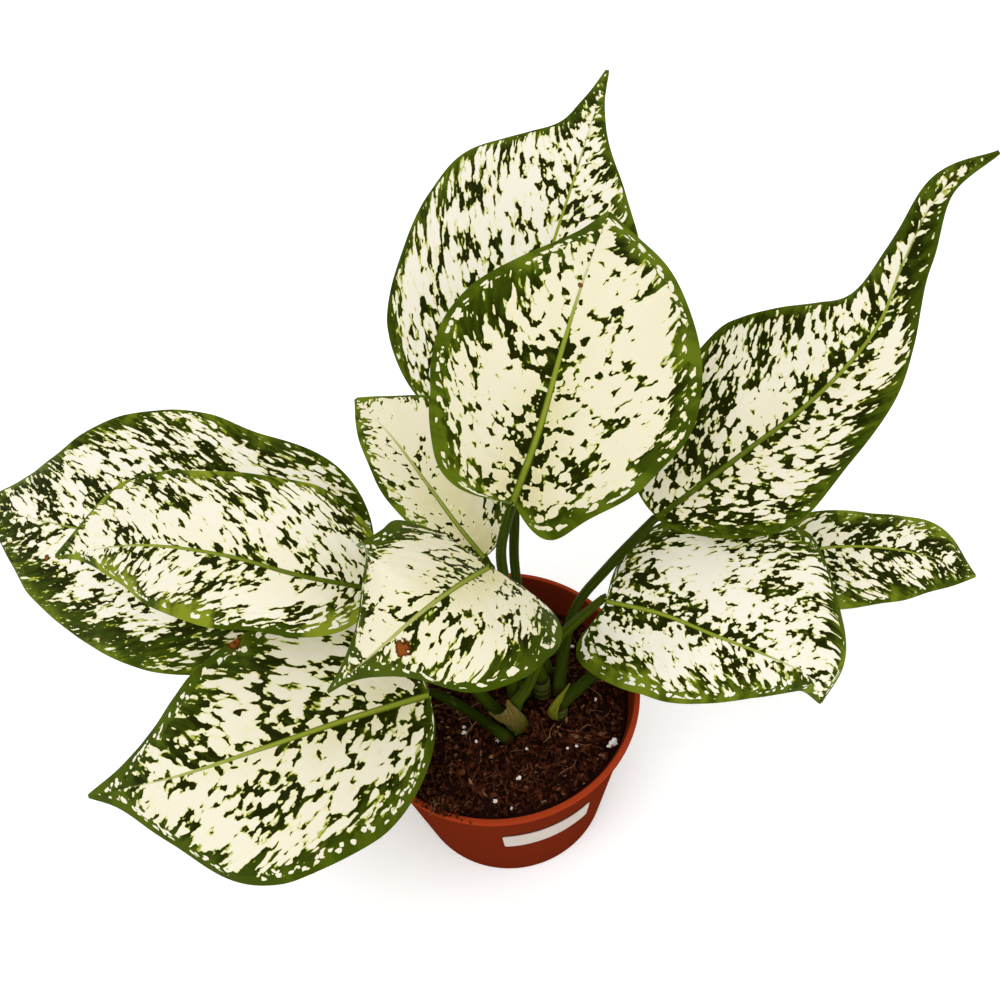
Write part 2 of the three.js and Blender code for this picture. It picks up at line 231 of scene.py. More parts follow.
def finishPiece(piece, material, slot, *nodes, angle=40):
    # gives a finished mesh its material and its place in the frame
    piece.data.materials.clear()
    piece.data.materials.append(material)
    pick(piece)
    bpy.ops.object.shade_smooth_by_angle(angle=math.radians(angle))
    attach(piece, "root")
    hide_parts(*nodes)


def seal(piece, openEnds=False):
    # merges doubles, fills the open rings at the two ends of a tube, and turns every face outwards
    bpy.context.view_layer.objects.active = piece
    bpy.ops.object.mode_set(mode="EDIT")
    bpy.ops.mesh.select_all(action="SELECT")
    bpy.ops.mesh.remove_doubles(threshold=1e-6)
    if openEnds:
        bpy.ops.mesh.select_all(action="DESELECT")
        bpy.ops.mesh.select_mode(type="EDGE")
        bpy.ops.mesh.select_non_manifold(extend=False)
        bpy.ops.mesh.fill_holes(sides=0)
        bpy.ops.mesh.select_all(action="SELECT")
    bpy.ops.mesh.normals_make_consistent(inside=False)
    bpy.ops.object.mode_set(mode="OBJECT")


def markPoints(mesh, name, values):
    # one number for each point of a mesh, for its material to read
    mesh.attributes.new(name, "FLOAT", "POINT").data.foreach_set("value", values)


def turned(name, profile, sides, middle=(0, 0)):
    # a profile of (radius, height) turned about an upright axis
    piece = sheetOfFaces(name, sides, len(profile) - 1)
    for vertex in piece.data.vertices:
        radius, height = profile[round((vertex.co.y + 1) / 2 * (len(profile) - 1))]
        x, y = polar(radius, math.pi * vertex.co.x)
        vertex.co = Vector((middle[0] + x, middle[1] + y, height)) * mm
    seal(piece)
    return piece


def cutHoles(piece, holes, sides):
    # cuts upright round holes: each is (x, y, radius, bottom, top)
    cutters = []
    for x, y, radius, bottom, top in holes:
        place = (x * mm, y * mm, (bottom + top) / 2 * mm)
        depth = (top - bottom) * mm
        bpy.ops.mesh.primitive_cylinder_add(vertices=sides, radius=radius * mm, depth=depth, location=place)
        cutters.append(bpy.context.object)
    cutter = joined(cutters)
    apply(piece, "BOOLEAN", object=cutter, operation="DIFFERENCE", solver="EXACT")
    bpy.data.objects.remove(cutter)


def joined(pieces):
    pick(*pieces)
    bpy.ops.object.join()
    return pieces[0]


# Camera: where the photograph was taken from, found from the pot's outline. target and distance are in metres,
# elevation and roll in degrees, lens and sensor in millimetres.
view = dict(
    target=(0.0132, 0, 0.2695), elevation=50.6, distance=0.4676, roll=-6.7, lens=39.6, sensor=36, nearest=0.01,
)


def addCamera():
    rise = math.radians(view["elevation"])
    roll = math.radians(view["roll"])
    back = Vector((0, -math.cos(rise), math.sin(rise)))
    level = Vector((1, 0, 0))
    upright = back.cross(level)
    right = math.cos(roll) * level + math.sin(roll) * upright
    up = -math.sin(roll) * level + math.cos(roll) * upright
    place = Vector(view["target"]) + back * view["distance"]
    turn = Matrix((right, up, back)).transposed()
    bpy.ops.object.camera_add()
    camera = bpy.context.object
    camera.matrix_world = Matrix.Translation(place) @ turn.to_4x4()
    camera.data.lens = view["lens"]
    camera.data.sensor_width = view["sensor"]
    camera.data.clip_start = view["nearest"]
    bpy.context.scene.camera = camera


addCamera()
print("camera placed")

# Leaves, in millimetres and degrees, as the solids have them. Lists run from base to tip: spine is the midrib, left
# and right are half widths, fold is the rise of both halves at the midrib and curl their bend. face is the way that
# the upper face looks. curl, lobes (how far the base reaches back) and waves (height, count, phase) are given as
# (left, right). The stalk stands on its cane, or beside it at the bearing side and the height foot.
leaves = {
    "back_tall": dict(
        spine=[(25, 87, 215), (37, 113, 248), (50, 136, 282), (71, 172, 312), (95, 234, 325)],
        face=(0, -5, 8), left=(54, 66, 74, 72, 66, 52, 19, 8, 1), right=(44, 44, 48, 48, 44, 28, 12, 4, 1),
        fold=(12, 8, 8), curl=((-10, -10), (-10, -10)), lobes=(14, 12),
        waves=((3, 1.7, 0.1), (2, 2, 0.4)), cane="back", side=60, foot=103,
        stalk=[(19, 33, 128), (17, 52, 150), (20, 66, 176)],
    ),
    "centre_back": dict(
        spine=[(19, 22, 240), (34, 35, 272), (47, 51, 303), (60, 71, 325), (76, 105, 332)],
        face=(0, -5, 8), left=(58, 50, 51, 54, 53, 44, 25, 11, 1), right=(42, 39, 53, 63, 63, 57, 44, 25, 1),
        fold=(20, 10, 10), curl=((-15, -5), (-10, -5)), lobes=(6, 33), lobePower=1,
        waves=((4, 1.5, 0.3), (2, 1.5, 0)), cane="back",
        stalk=[(17, 10, 150), (11.5, 17, 180), (11, 20, 208)],
    ),
    "right_long": dict(
        spine=[
            (89, 34, 200), (129, 42, 230), (163, 47, 260), (187, 55, 290), (201, 73, 312), (220, 94, 330),
            (251, 111, 335),
        ],
        face=(-2, -6, 7), left=(42, 47, 51, 53, 40, 16, 8, 7, 1), right=(28, 38, 41, 33, 26, 14, 10, 4, 1),
        fold=(14, 12, 20), curl=((-20, -10), (-10, 0)), lobes=(14, 2),
        waves=((2, 2, 0.2), (5, 2, 0.75)), cane="back", side=-20, foot=103,
        stalk=[(38, 14, 119), (47, 29, 138), (65, 36, 160)],
    ),
    "right_low": dict(
        spine=[(62, 22, 150), (87, 4, 160), (110, -13, 162), (137, -22, 150), (157, -28, 136), (165, -33, 116)],
        face=(0, -5, 8), left=(34, 46, 56, 62, 65, 68, 60, 26, 1), right=(52, 45, 42, 40, 33, 25, 16, 8, 1),
        fold=(10, 5), curl=((-25, -25), (-25, -25)), lobes=(14, 40),
        waves=((2, 2, 0.2), (1, 2, 0)), cane="front_left",
        stalk=[(9, -15, 120), (16, -10, 127), (29, 3, 141)],
    ),
    "far_right": dict(
        spine=[(159, 65, 100), (190, 65, 113), (220, 60, 116), (251, 55, 108), (281, 48, 92)],
        face=(0, -2, 8), left=(25, 24, 23, 22, 22, 23, 22, 15, 1), right=(25, 33, 37, 37, 34, 30, 22, 13, 1),
        fold=(8, 5), curl=((-15, -15), (-15, -15)), lobes=(10, 10),
        waves=((2, 2, 0.6), (1, 2, 0)), cane="front_right",
        stalk=[(56, 2, 116), (90, 26, 114), (124, 50, 102)],
    ),
    "left_back": dict(
        spine=[(-56, 34, 180), (-99, 34, 198), (-151, 49, 202), (-211, 80, 190), (-285, 128, 165)],
        face=(0, -6, 8), left=(50, 53, 58, 63, 62, 55, 42, 20, 1), right=(52, 61, 63, 70, 69, 59, 39, 20, 1),
        fold=(8, 3), curl=((-18, -18), (-18, -18)), lobes=(12, 12),
        waves=((2, 2, 0.6), (4, 2, 0.9)), cane="back", side=195, foot=104,
        stalk=[(1, 6, 126), (-20, 18, 152)],
    ),
    "left_upper": dict(
        spine=[(-48, -6, 224), (-77, -10, 246), (-110, -1, 256), (-153, 18, 246), (-204, 40, 218)],
        face=(0, -5, 8), left=(28, 28, 28, 32, 30, 26, 16, 5, 1), right=(44, 42, 41, 38, 36, 35, 30, 15, 1),
        fold=(6, 3), curl=((-18, -18), (-25, -18)), lobes=(12, 12),
        waves=((2, 2, 0.3), (2, 2, 0.4)), cane="front_left", side=140, foot=103,
        stalk=[(-11, -9, 130), (-22, -6, 165), (-34, -3, 198)],
    ),
    "left_low": dict(
        spine=[(-33, -21, 150), (-70, -38, 166), (-110, -49, 168), (-155, -50, 152), (-212, -39, 120)],
        face=(0, -5, 8), left=(50, 54, 58, 61, 62, 54, 31, 11, 1), right=(52, 55, 57, 55, 48, 37, 23, 10, 1),
        fold=(8, 3), curl=((-12, -18), (-15, -15)), lobes=(4, 10),
        waves=((3, 2, 0.5), (2, 2, 0.2)), cane="front_left", side=240, foot=102,
        stalk=[(-7, -21, 114), (-20, -19, 133)],
    ),
    "centre_front": dict(
        spine=[(5, -1, 224), (-9, -28, 250), (-24, -46, 260), (-43, -50, 244), (-73, -45, 205)],
        face=(0, -3, 8), left=(58, 52, 49, 48, 38, 18, 8, 3, 1), right=(50, 49, 43, 43, 42, 35, 17, 7, 1),
        fold=(10, -4), curl=((-25, -25), (-15, -30)), lobes=(22, 10),
        waves=((2, 2, 0.5), (2, 1.5, 0)), cane="front_left", side=75, foot=103,
        stalk=[(7, -5, 150), (3, 0, 185)],
    ),
    "small_inner": dict(
        spine=[(2, 33, 185), (-9, 38, 208), (-22, 52, 228), (-36, 74, 238), (-54, 107, 234)],
        face=(0, -3, 8), left=(12, 13, 17, 20, 21, 18, 14, 8, 1), right=(22, 26, 30, 33, 34, 32, 24, 14, 1),
        fold=(20, 12), curl=((-10, -10), (-10, -10)), lobes=(10, 10),
        waves=((1, 2, 0.5), (2, 2, 0)), cane="back", side=145, foot=104,
        stalk=[(11, 17, 132), (7, 27, 160)],
    ),
}

# How each leaf is marked: how open its cream is, how uneven that is and how its flecks gather at the midrib, size
# and stretch of its flecks, how far its side veins sweep towards the tip, width of its green margin and of the
# netted zone inside it in millimetres (left, right), yellowness of its cream, brightness of its green, a number
# that shifts the pattern, width and paleness of its midrib, and a dry brown spot (across, along, size). usualMark
# holds what isn't given for a leaf.
usualMark = dict(calm=1.3, hug=0.16, stretch=1, sweep=0.5, rib=(0.6, 0.3))
marks = {
    "back_tall": dict(
        open=0.68, size=0.95, margin=(0.5, 0.5), net=(12, 12), yellow=0.1, green=0.5, shift=3.1,
    ),
    "centre_back": dict(
        open=0.76, calm=1.8, hug=0.4, size=0.9, sweep=0.3, margin=(8, 8), net=(23, 15), yellow=0.85, green=0.7,
        shift=11.7, rib=(1, 0.35), scar=(0.5, 104, 1.2),
    ),
    "right_long": dict(
        open=0.6, calm=1.2, hug=0.2, size=0.85, margin=(0, 2), net=(7, 9), yellow=0.35, green=0.35, shift=23.3,
        rib=(0.8, 0.15), scar=(-16, 133, 1.5),
    ),
    "right_low": dict(
        open=0.71, calm=1.5, hug=0.25, size=0.8, sweep=0.4, margin=(6.5, 7.5), net=(13, 15), yellow=0.1,
        green=1.1, shift=37.9, rib=(0.7, 0.4),
    ),
    "far_right": dict(
        open=0.54, size=0.8, margin=(3, 3), net=(12, 12), yellow=0.2, green=1.1, shift=41.3,
    ),
    "left_back": dict(
        open=0.64, calm=1.4, size=0.9, stretch=1.1, sweep=1, margin=(1.5, 0.5), net=(38, 16), yellow=0,
        green=0.75, shift=53.9, scar=(19, 187, 2.2),
    ),
    "left_upper": dict(
        open=0.67, size=0.66, stretch=1.6, sweep=0.75, margin=(5.5, 0), net=(6, 5), yellow=0.3, green=1.35,
        shift=67.1, rib=(0.6, 0.15),
    ),
    "left_low": dict(
        open=0.72, calm=1.5, hug=0.25, size=1.15, margin=(10, 9), net=(19, 21), yellow=0.55, green=0.3,
        shift=71.7, rib=(0.9, 0.45), scar=(-52, 86, 3.5),
    ),
    "centre_front": dict(
        open=0.76, calm=1.5, hug=0.2, size=0.85, margin=(7, 7), net=(16, 16), yellow=0.75, green=0.2,
        shift=83.3, rib=(0.8, 0.55), scar=(6, 82, 4.5),
    ),
    "small_inner": dict(
        open=0.86, hug=0.1, size=0.7, stretch=1.1, margin=(3, 3), net=(9, 9), yellow=0.9, green=0.9, shift=97.1,
        rib=(0.7, 0.55),
    ),
}

bladeShape = dict(
    columns=64, rows=120, crowd=1.35, bunch=0.1, thickness=0.6, ridge=1.9, ridgeEnd=0.1, ridgeHalf=0.6,
    baseHalf=1.5, tipHalf=0.25, roundBase=0.25, lobeEnd=0.33, lobeReach=40, lobePower=1.5, groove=0.5,
    grooveHalf=1.6, veinGap=8.5, veinRise=0.22, ripple=0.5, rippleLength=16, calmHalf=25,
)


def veinPlace(distance, half, share, sweep):
    # where a side vein through this spot leaves the midrib
    return distance - half * share * (sweep + 0.5 * share * share)


def bladePoint(leaf, curve, u, t, mark):
    # a point of the blade's upper face; u runs from 1 at the left margin to -1 at the right
    middle = curve.place(t)
    ahead = curve.ahead(t)
    side = Vector(leaf["face"]).cross(ahead).normalized()
    up = ahead.cross(side)
    which = 0 if u >= 0 else 1
    sign = 1 if u >= 0 else -1
    q = abs(u)
    near = max(1 - t / bladeShape["roundBase"], 0)
    least = between(bladeShape["baseHalf"], bladeShape["tipHalf"], t)
    half = max(along(leaf["left" if u >= 0 else "right"], t) * math.sqrt(1 - near * near), least)
    start = math.radians(along(leaf["fold"], t))
    bend = math.radians(along(leaf["curl"][which], t)) or 1e-6
    out = half * (math.sin(start + bend * q) - math.sin(start)) / bend
    rise = half * (math.cos(start) - math.cos(start + bend * q)) / bend
    height, count, phase = leaf["waves"][which]
    fine = min(half / bladeShape["calmHalf"], 1)
    rise += height * q * q * math.sin(2 * math.pi * (count * t + phase)) * fine
    fade = max(1 - t / bladeShape["lobeEnd"], 0) ** 2
    power = leaf.get("lobePower", bladeShape["lobePower"])
    back = leaf["lobes"][which] * fade * (q * half / bladeShape["lobeReach"]) ** power
    across = q * half
    distance = t * curve.length
    vein = veinPlace(distance, half, q, mark["sweep"]) / bladeShape["veinGap"]
    rise += bladeShape["veinRise"] * math.cos(2 * math.pi * vein) * math.sin(math.pi * min(q, 1)) * fine
    wander = noise.noise(Vector((distance / bladeShape["rippleLength"], 3 * sign, mark["shift"])))
    rise += 2 * bladeShape["ripple"] * wander * q ** 3 * fine
    rise -= bladeShape["groove"] * math.exp(-(across / bladeShape["grooveHalf"]) ** 2) * (1 - t)
    point = middle + side * (sign * out) + up * rise - ahead * back
    return point, (sign * across, distance, half)


def makeBlade(name, leaf):
    # blade: a grid laid along the midrib, given its thickness, with the midrib standing out below
    curve = Curve(leaf["spine"])
    mark, ridgeHalf = {**usualMark, **marks[name]}, bladeShape["ridgeHalf"]
    blade = sheetOfFaces("leaf_" + name, bladeShape["columns"], bladeShape["rows"])
    mesh = blade.data
    lie = mesh.attributes.new("lie", "FLOAT_VECTOR", "POINT")
    ridges = []
    for spot, vertex in enumerate(mesh.vertices):
        u = -math.copysign(abs(vertex.co.x) ** bladeShape["crowd"], vertex.co.x)
        s = (vertex.co.y + 1) / 2
        t = s - bladeShape["bunch"] * math.sin(2 * math.pi * s)
        point, place = bladePoint(leaf, curve, u, t, mark)
        vertex.co = point * mm
        lie.data[spot].vector = place
        deep = between(bladeShape["ridge"], bladeShape["ridgeEnd"], math.sqrt(t))
        ridges.append(deep * math.exp(-(place[0] / (ridgeHalf + deep * ridgeHalf)) ** 2))
    mesh.update()
    apply(blade, "SOLIDIFY", thickness=bladeShape["thickness"] * mm, offset=-1)
    normals = [vertex.normal.copy() for vertex in mesh.vertices]
    for spot, deep in enumerate(ridges):
        mesh.vertices[spot + len(ridges)].co += normals[spot + len(ridges)] * deep * mm
    markPoints(mesh, "under", [0.0] * len(ridges) + [1.0] * len(ridges))
    finishPiece(blade, bladePaint(name, mark, curve.length), "blade", "blade_" + name, angle=60)


# fresh, and lime where it brightens the margin, are partly the leaf's own green and partly painted light shining
# through the thin edge
bladeColors = palette(
    cream="f4efdf", pale="eae4b9", butter="dad092", lime="a5ac30", fresh="6a7a18", leafGreen="3c4c04",
    darkest="1e2200", rib="8f9a30", ribTip="cfca8c", scar="8a4a14", scarDark="4a2408", under="a4ae84",
)
# Sizes of the blades' patterns in millimetres, in pairs as (along the midrib, along the side veins)
fleckShape = dict(
    island=(4.2, 7), speck=(2.2, 3.4), fleck=(2.6, 4.6), tone=(5, 7), patch=(24, 20),
    grain=(0.7, 1.6), dot=(3.4, 3), dotBend=(5, 3), bend=3.2, hug=8, leastMargin=0.8,
    marginWave=14, marginBend=9, marginFade=9, shadeHalf=24,
)
# How strongly each of them pulls a spot towards green
fleckPull = dict(near=0.4, vein=0.06, speck=0.55, cells=0.8, fleck=0.9, crumb=0.1, margin=0.7, dots=1.1)


def veined(paint, spot, kind, sheet, detail=1.0):
    # noise drawn out along the side veins
    wide, tall = fleckShape[kind]
    return paint.noise(paint.join(spot.vein / wide, spot.out / tall, spot.page + sheet), detail=detail)


def bladeSpot(paint, mark, length):
    # where a spot lies on its blade, with the slow noises that bend and vary all the patterns there
    spot = SimpleNamespace()
    spot.across, spot.distance, spot.half = paint.split(paint.attribute("lie", "Vector"))
    spot.out = paint.math("ABSOLUTE", spot.across)
    spot.edge = spot.half - spot.out
    spot.t = spot.distance / length
    share = spot.out / paint.math("MAXIMUM", spot.half, 0.3)
    spot.vein = veinPlace(spot.distance, spot.half, share, mark["sweep"])
    spot.veinWave = paint.math("PINGPONG", spot.vein / (bladeShape["veinGap"] / 2), 1.0)
    isLeft = paint.math("GREATER_THAN", spot.across, 0.0)
    spot.page = isLeft * 9.0 + mark["shift"]
    spot.flat = paint.join(spot.distance, spot.across, spot.page)
    warp = paint.split(paint.noise(spot.flat, 0.22, output="Color"))
    spot.warpX, spot.warpY, spot.warpZ = [part - 0.5 for part in warp]
    spot.patch = veined(paint, spot, "patch", 7.0) - 0.5
    spot.tone = veined(paint, spot, "tone", 2.0, detail=2.0)

    def sided(values):
        return isLeft * (values[0] - values[1]) + values[1]

    # the solid margin: its width, how far inside it the spot lies, and whether it is on it or near it
    spot.rimNoise = paint.noise(paint.join(spot.distance / fleckShape["marginWave"], spot.page, 0.5), detail=3.0)
    width = sided(mark["margin"]) * (1.5 * spot.rimNoise)
    spot.width = paint.math("MAXIMUM", width, fleckShape["leastMargin"])
    spot.inward = spot.edge - spot.width + spot.warpX * fleckShape["marginBend"]
    spot.band = paint.step(spot.inward, -1.0, 1.0, 1.0, 0.0)
    spot.near = paint.step(spot.inward / sided(mark["net"]), 0.0, 1.0, 1.0, 0.0)
    return spot


def marginDots(paint, spot):
    # small cream dots on the green margin
    (wide, tall), (bendX, bendY) = fleckShape["dot"], fleckShape["dotBend"]
    place = paint.join((spot.distance + spot.warpX * bendX) / wide, (spot.edge + spot.warpY * bendY) / tall, spot.page)
    dot = paint.step(paint.cells(place) / (0.5 + 0.6 * spot.warpZ), 0.8, 1.1, 1.0, 0.0)
    picked = paint.step(paint.split(paint.cells(place, "Color"))[0], 0.2, 0.22)
    clear = paint.step(spot.edge / spot.width, 0.35, 0.55) * paint.step(spot.edge, 1.4, 2.4)
    return dot * picked * spot.band * clear


def greenness(paint, spot, mark):
    # above 0 on the margin and beyond the reach of the cream islands, large and small
    pull, bend, hugHalf = fleckPull, fleckShape["bend"], fleckShape["hug"]
    hug = paint.step(spot.out + spot.warpY * hugHalf, 1.0, hugHalf, mark["hug"], 0.0)
    reach = mark["open"] - spot.near * pull["near"] - hug * paint.step(spot.t, 0.4, 0.8, 1.0, 0.0)
    reach = reach + spot.patch * mark["calm"] - spot.veinWave * pull["vein"] + pull["vein"] / 2
    slant = math.hypot(1, mark["sweep"] + 0.5)
    size, stretch = mark["size"] * slant, mark["size"] * mark["stretch"] / slant
    bentX, bentY = spot.vein + spot.warpX * bend, spot.out + spot.warpY * bend

    def bent(kind, sheet):
        wide, tall = fleckShape[kind]
        return paint.join(bentX / (wide * size), bentY / (tall * stretch), spot.page + sheet)

    islands = paint.cells(bent("island", 0.0)) - reach
    specks = (paint.cells(bent("speck", 3.0)) - reach * pull["speck"]) * pull["speck"]
    fleck = paint.noise(bent("fleck", 1.0), detail=1.0) - 0.5
    crumb = paint.noise(spot.flat, 0.9, detail=1.0) - 0.5
    green = paint.math("MINIMUM", islands, specks) * pull["cells"] + fleck * pull["fleck"] + crumb * pull["crumb"]
    green = green + spot.band * pull["margin"] + paint.step(spot.edge, 0.5, 1.5, pull["margin"], 0.0)
    return green - marginDots(paint, spot) * pull["dots"]


def greenColor(paint, spot, mark):
    # dark between the islands, lighter on and near the margin, and brighter in streaks along it: partly the leaf's own
    # fresher green, partly painted light shining through the thin margin
    lit = spot.near * 0.4 + spot.band * 0.3 + (spot.tone - 0.5) * 1.8 * (1 - spot.near * 0.6)
    color = paint.mix(paint.step(lit, 0.0, 0.6), bladeColors.darkest, bladeColors.leafGreen)
    streaks = spot.tone * 0.5 * (1 - spot.band * 0.8) + spot.band * 0.24
    # painted light in part: brighter streaks along the margin stand for light shining through the thin edge
    freshAndLitShare = paint.step(streaks + (spot.rimNoise - 0.5) * 0.9, 0.2, 0.4)
    rim = paint.step(spot.inward / fleckShape["marginFade"], 0.0, 1.0, 1.0, 0.0)
    freshAndLitGreen = paint.mix(max(mark["green"] - 1, 0.0), bladeColors.fresh, bladeColors.lime)
    return paint.mix(freshAndLitShare * rim * min(mark["green"], 1.0), color, freshAndLitGreen)


def creamColor(paint, spot, mark, green):
    # yellower near the midrib and in patches, and lime beside the green
    shade = paint.step(spot.out, 2.0, fleckShape["shadeHalf"], 0.8, 0.0) * paint.step(spot.t, 0.1, 0.75, 1.0, 0.1)
    yellow = (paint.step(shade + spot.patch, 0.0, 1.0) * 0.6 + 0.4) * mark["yellow"]
    color = paint.mix(yellow, bladeColors.cream, bladeColors.butter)
    color = paint.mix(paint.step(green, -0.2, -0.03), color, bladeColors.pale)
    limeWidth = 0.035 + paint.step(spot.tone, 0.5, 0.66) * (0.08 + spot.near * 0.14) + spot.band * 0.03
    return paint.mix(paint.step(green / limeWidth, -1.0, -0.1), color, bladeColors.lime)


def withRib(paint, spot, mark, body):
    # the midrib is green at the base, paler further on, and fades out towards the tip; its darker green sides are
    # partly real green edging and partly painted shade beside the raised rib
    size, paleness = mark["rib"]
    share = spot.out / paint.step(spot.t, 0.0, 1.0, 2.0 * size, 0.35)
    tint = spot.t * 0.5 + (spot.tone - 0.5) * 0.2 + paleness
    color = paint.mix(paint.step(tint, 0.1, 0.5), bladeColors.leafGreen, bladeColors.rib)
    color = paint.mix(paint.step(tint, 0.6, 1.1), color, bladeColors.ribTip)
    # darker green along both sides of the rib: partly real green edging, partly painted shade
    side = paint.step(share, 0.35, 0.8) * paint.step(spot.t, 0.3, 0.7, 0.8, 0.0)
    color = paint.mix(side, color, bladeColors.leafGreen)
    rib = paint.step(share, 0.75, 1.1, 1.0, 0.0) * paint.step(spot.t, 0.6, 0.9, 1.0, 0.0)
    return paint.mix(rib, body, color)


def withScar(paint, spot, scar, body):
    # a dry brown spot with a darker edge
    across, distance, size = scar
    offset = paint.join(spot.across - across, spot.distance - distance, spot.warpZ * 4.0 * size)
    length = paint.node("ShaderNodeVectorMath", {0: offset}, output="Value", operation="LENGTH")
    far = length / size + spot.warpX * 2.0
    body = paint.mix(paint.step(far, 0.8, 1.0, 1.0, 0.0), body, bladeColors.scarDark)
    return paint.mix(paint.step(far, 0.45, 0.8, 1.0, 0.0), body, bladeColors.scar)


def bladePaint(name, mark, length):
    # rounded cream islands with dark green between them, a green margin and a green midrib
    paint = Paint("blade " + name)
    spot = bladeSpot(paint, mark, length)
    green = greenness(paint, spot, mark)
    cream = creamColor(paint, spot, mark, green)
    body = paint.mix(paint.step(green, -0.014, 0.012), cream, greenColor(paint, spot, mark))
    body = withRib(paint, spot, mark, body)
    if "scar" in mark:
        body = withScar(paint, spot, mark["scar"], body)
    body = paint.mix(paint.attribute("under") * 0.35, body, bladeColors.under)
    grain = veined(paint, spot, "grain", 0.0, detail=2.0)
    solid = paint.step(green, -0.02, 0.03)
    relief = spot.veinWave * 0.3 + grain * 0.1 + solid * 0.08
    return paint.coat(body, 0.5 + 0.1 * grain - 0.1 * solid, 0.025, relief, 0.0006, 0.45)


for leafName, leafShape in leaves.items():
    makeBlade(leafName, leafShape)
print("blades made")

# Pot: a thin tapered wall with a turned lip and drain holes
pot = dict(
    height=112, rimRadius=76, baseRadius=56, wall=1.6, floor=2, lipHeight=4, lipWidth=3,
    lipSlope=1.6, sides=192, foot=1.5, wallRows=(40, 80), drainHoles=8, drainRadius=4,
    drainRing=38, holeSides=32,
)
# lip: a brighter red for the top of the rim, a painted highlight where light catches it
potColors = palette(dark="64200f", light="702812", floor="5a1a0e", lip="9c381a", scuff="7c3018")
underLip = pot["height"] - pot["lipHeight"]


def wallRadius(z):
    return between(pot["baseRadius"], pot["rimRadius"] - pot["lipWidth"], z / underLip)


def makePot():
    height, rim, base, wall, foot = (pot[key] for key in ("height", "rimRadius", "baseRadius", "wall", "foot"))
    inside = wallRadius(underLip) - wall
    brim = inside + pot["lipSlope"]
    profile = [
        (0, 0), (base - foot, 0), (base - 0.6, 0.3), *((wallRadius(z), z) for z in (foot, *pot["wallRows"])),
        (wallRadius(underLip - 0.8), underLip - 0.8), (wallRadius(underLip) + 0.4, underLip),
        (rim - 0.6, underLip), (rim - 0.1, underLip + 0.4), (rim, underLip + 1), (rim, height - 1.1),
        (rim - 0.3, height - 0.3), (rim - 0.9, height), (brim + 0.5, height), (brim + 0.1, height - 0.2),
        (brim - 0.2, height - 0.8), (inside, underLip),
        *((wallRadius(z) - wall, z) for z in (pot["wallRows"][0], pot["floor"])), (0, pot["floor"]),
    ]
    piece = turned("nursery_pot", profile, pot["sides"])
    turns = [2 * math.pi * (k + 0.5) / pot["drainHoles"] for k in range(pot["drainHoles"])]
    holes = [(*polar(pot["drainRing"], turn), pot["drainRadius"], -2, 4) for turn in turns]
    cutHoles(piece, holes, pot["holeSides"])
    finishPiece(piece, potPaint(), "pot", "pot")


def potPaint():
    # a red-brown wall, lightly scuffed, with the top of the lip painted brighter as a painted highlight
    paint = Paint("pot plastic")
    place = paint.objectPlace()
    x, y, z = [part / mm for part in paint.split(place)]
    r = paint.math("SQRT", x * x + y * y)
    cloud = paint.noise(place, 18, detail=3.0)
    scuff = paint.noise(place, 160, detail=3.0)
    body = paint.mix(cloud, potColors.dark, potColors.light)
    body = paint.mix(paint.step(r, wallRadius(0) - 2, wallRadius(0) - 1, 1.0, 0.0), body, potColors.floor)
    # painted highlight: the top of the lip is painted brighter where light catches the rim
    height, onLip = pot["height"], paint.step(r, pot["rimRadius"] - 2.9, pot["rimRadius"] - 2.5)
    lit = paint.step(z + cloud * 0.8, height - 2.0, height - 0.6) * onLip
    body = paint.mix(lit, body, potColors.lip)
    body = paint.mix(paint.step(scuff, 0.62, 0.72, 0.0, 0.2), body, potColors.scuff)
    return paint.coat(body, 0.38 + 0.2 * scuff, 0.0, scuff, 0.0003, 0.3)


makePot()
print("pot made")

# Potting mix: a lumpy surface, chips and fibres strewn over it, and white perlite grains
soil = dict(
    level=98, rise=0.12, bumps=1.4, edge=69, around=220, rings=64, lump=2.2, lumpLength=7,
    grain=0.9, grainLength=1.3, bottom=2.3, clear=0.35, holeRadius=5.5, holeBottom=71.7,
)
# Chips and fibres: how many, how far out, and their sizes as (least, most, usual). They bank up round the stems,
# outside the radii stalk and cane. A stalk stands in the mix if its foot is lower than buried.
litter = dict(
    chips=5300, chipReach=70, chipSize=(1.2, 6.5, 1.8), chipWidth=(0.25, 0.65), chipDepth=(0.2, 0.45),
    fibres=380, fibreReach=58, fibreSize=(3, 18, 4.5), fibreRadius=0.014, bank=3, bankReach=5,
    stalk=3.6, cane=5.3, buried=106,
)
# Mix spilt on the rim in front
spill = dict(
    bearing=-117, spread=5, inner=63, outer=76, top=112.8, chips=130, chipSize=(1.2, 4, 1.6),
    fibres=22, fibreSize=(4, 9),
)
soilStops = [
    (0.0, "1e0a05"), (0.25, "2e1409"), (0.5, "44200f"), (0.68, "522a16"), (0.8, "704830"), (0.9, "927050"),
]
perliteColor = hexColor("efe8e2")
grains = [  # perlite seen in front, as (x, y, width)
    (57, -36, 5), (54.5, -37.5, 2.6), (-20, -15, 2.2), (-20, -19, 3), (-14, -26, 2.4), (-3, -25, 3.4), (6, -50, 3),
    (-7, -61, 2.4), (33, -36, 2), (38, -35, 1.8), (12, -33, 2), (1, -66, 1.8), (-45, -10, 2.4), (44, 30, 2.6),
    (-18, 52, 3), (20, 58, 2.2), (52, -8, 2.2),
]
canes = {
    "front_left": dict(at=(7, -17), top=110),
    "front_right": dict(at=(31, -13), top=108),
    "back": dict(at=(24, 2), top=112),
}
petioleShape = dict(
    footRadius=3.7, middleRadius=2.7, topRadius=2.1, around=20, rows=48, clear=0.3,
    caneReach=5.5, short=0.5, drop=2.5, lead=4,
)


